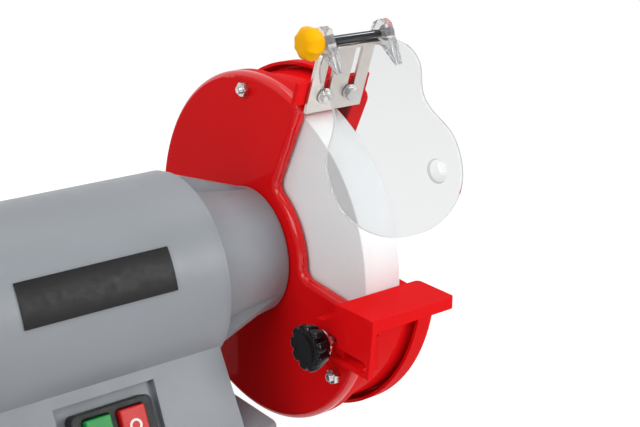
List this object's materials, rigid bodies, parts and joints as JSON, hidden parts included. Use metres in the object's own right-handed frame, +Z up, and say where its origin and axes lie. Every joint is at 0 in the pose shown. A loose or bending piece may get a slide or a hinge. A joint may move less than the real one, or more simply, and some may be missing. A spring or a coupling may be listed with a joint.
{
  "type": "bench grinder",
  "caption": "Double-ended bench grinder: grey motor on a column foot, a white wheel in a red guard at each end, with clear eye shield and sliding tool rest.",
  "frame": {"origin": "middle of the bench bolt pattern, on the underside of the foot", "axes": "+X along the spindle to the right-hand wheel, -Y towards the operator, +Z up"},
  "size_m": [0.409, 0.2426, 0.2968],
  "materials": {
    "grey_paint": "satin cast enamel",
    "red_paint": "gloss enamel",
    "abrasive": "fine gritty white aluminium oxide",
    "zinc_steel": "zinc plated",
    "plate_steel": "bare sheet",
    "bracket_steel": "bright zinc sheet",
    "shaft_steel": "turned",
    "rod_steel": "blackened",
    "bearing_steel": "ground",
    "lamination": "stacked sheet",
    "winding": "varnished copper wire",
    "capacitor_case": "drawn can",
    "terminal_plastic": "moulded",
    "black_plastic": "moulded",
    "black_gloss": "polished thermoset",
    "yellow_plastic": "moulded",
    "green_plastic": "moulded",
    "red_plastic": "moulded",
    "dark_plate": "blank anodised plate",
    "blotter_paper": "card",
    "clear_plastic": "clear polycarbonate"
  },
  "bodies": {
    "frame": {"motor_barrel": "grey_paint", "pedestal": "grey_paint", "bottom_plate": "plate_steel", "bottom_plate_screws": "zinc_steel", "bell_screws": "zinc_steel", "stator_core": "lamination", "stator_windings": "winding", "bearing_outer_rings": "bearing_steel", "bearing_balls": "bearing_steel", "wave_washer": "bearing_steel", "run_capacitor": "capacitor_case", "terminal_block": "terminal_plastic", "switch_housing": "black_plastic", "cable_gland": "black_plastic", "blank_plate": "dark_plate", "guard_screws": "zinc_steel", "cover_screws": "zinc_steel", "wall_bolts": "zinc_steel", "bracket_bolts": "zinc_steel", "right_end_bell": "grey_paint", "right_guard_wall": "red_paint", "right_guard_drum": "red_paint", "right_guard_cover": "red_paint", "right_shield_seat": "red_paint", "right_rest_mount": "red_paint", "left_end_bell": "grey_paint", "left_guard_wall": "red_paint", "left_guard_drum": "red_paint", "left_guard_cover": "red_paint", "left_shield_seat": "red_paint", "left_rest_mount": "red_paint"},
    "spindle": {"spindle": "shaft_steel", "rotor_core": "lamination", "bearing_inner_rings": "bearing_steel", "wheel_blotters": "blotter_paper", "outer_flanges": "zinc_steel", "wheel_nuts": "zinc_steel", "right_wheel": "abrasive", "right_inner_flange": "zinc_steel", "left_wheel": "abrasive", "left_inner_flange": "zinc_steel"},
    "right_bracket": {"right_shield_bracket": "bracket_steel", "right_shield_rod": "rod_steel"},
    "right_shield": {"right_shield_pane": "clear_plastic", "right_shield_clips": "clear_plastic"},
    "right_clamp": {"right_clamp_knob": "yellow_plastic"},
    "right_rest": {"right_tool_rest": "red_paint"},
    "right_rest_clamp": {"right_rest_knob": "black_gloss", "right_rest_stud": "zinc_steel"},
    "left_bracket": {"left_shield_bracket": "bracket_steel", "left_shield_rod": "rod_steel"},
    "left_shield": {"left_shield_pane": "clear_plastic", "left_shield_clips": "clear_plastic"},
    "left_clamp": {"left_clamp_knob": "yellow_plastic"},
    "left_rest": {"left_tool_rest": "red_paint"},
    "left_rest_clamp": {"left_rest_knob": "black_gloss", "left_rest_stud": "zinc_steel"},
    "start_switch": {"start_button": "green_plastic"},
    "stop_switch": {"stop_button": "red_plastic"}
  },
  "joints": [
    {"name": "spindle_spin", "type": "hinge", "parent": "frame", "child": "spindle", "pos_m": [0, 0, 0.15], "axis": [1, 0, 0], "continuous": true},
    {"name": "right_rest_slide", "type": "slide", "parent": "frame", "child": "right_rest", "axis": [0, -1, 0], "range_m": [-0.0015, 0.012]},
    {"name": "right_rest_knob_turn", "type": "hinge", "parent": "frame", "child": "right_rest_clamp", "pos_m": [0.11, -0.0973, 0.1277], "axis": [-1, 0, 0], "range_deg": [0, 270]},
    {"name": "right_bracket_slide", "type": "slide", "parent": "frame", "child": "right_bracket", "axis": [0, -0.3305, 0.9438], "range_m": [-0.004, 0.0025]},
    {"name": "right_shield_flip", "type": "hinge", "parent": "right_bracket", "child": "right_shield", "pos_m": [0.1575, -0.06421, 0.28746], "axis": [-1, 0, 0], "range_deg": [-3, 100]},
    {"name": "right_clamp_turn", "type": "hinge", "parent": "right_bracket", "child": "right_clamp", "pos_m": [0.127, -0.06421, 0.28746], "axis": [-1, 0, 0], "range_deg": [0, 270]},
    {"name": "left_rest_slide", "type": "slide", "parent": "frame", "child": "left_rest", "axis": [0, -1, 0], "range_m": [-0.0015, 0.012]},
    {"name": "left_rest_knob_turn", "type": "hinge", "parent": "frame", "child": "left_rest_clamp", "pos_m": [-0.11, -0.0973, 0.1277], "axis": [1, 0, 0], "range_deg": [0, 270]},
    {"name": "left_bracket_slide", "type": "slide", "parent": "frame", "child": "left_bracket", "axis": [0, -0.3305, 0.9438], "range_m": [-0.004, 0.0025]},
    {"name": "left_shield_flip", "type": "hinge", "parent": "left_bracket", "child": "left_shield", "pos_m": [-0.1575, -0.06421, 0.28746], "axis": [-1, 0, 0], "range_deg": [-3, 100]},
    {"name": "left_clamp_turn", "type": "hinge", "parent": "left_bracket", "child": "left_clamp", "pos_m": [-0.127, -0.06421, 0.28746], "axis": [1, 0, 0], "range_deg": [0, 270]},
    {"name": "start_press", "type": "slide", "parent": "frame", "child": "start_switch", "axis": [0, 0.9129, -0.4082], "range_m": [0, 0.0025], "stiffness_N_per_m": 400, "springref_m": -0.002},
    {"name": "stop_press", "type": "slide", "parent": "frame", "child": "stop_switch", "axis": [0, 0.9129, -0.4082], "range_m": [0, 0.0025], "stiffness_N_per_m": 400, "springref_m": -0.002}
  ]
}
